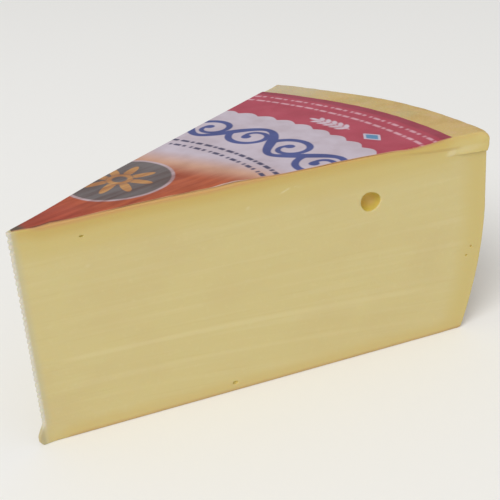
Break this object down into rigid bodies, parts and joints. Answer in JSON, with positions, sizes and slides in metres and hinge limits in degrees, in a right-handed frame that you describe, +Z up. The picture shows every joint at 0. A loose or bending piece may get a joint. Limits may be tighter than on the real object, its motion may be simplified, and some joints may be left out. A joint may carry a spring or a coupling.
{
  "type": "raclette cheese wedge",
  "caption": "Wedge of semi-hard raclette cheese cut from a round wheel, with rind, a round eye and a printed paper label on top.",
  "frame": {"origin": "middle of the bounding box, on the flat base", "axes": "+X from the wedge's tip to its rind, midway between the two cuts; +Y towards the far cut; +Z up from the wheel's flat base to the label"},
  "size_m": [0.1486, 0.0961, 0.0675],
  "materials": {
    "cheese": null,
    "label": "printed paper"
  },
  "bodies": {
    "root": {"cheese": "cheese", "label": "label"}
  },
  "joints": []
}
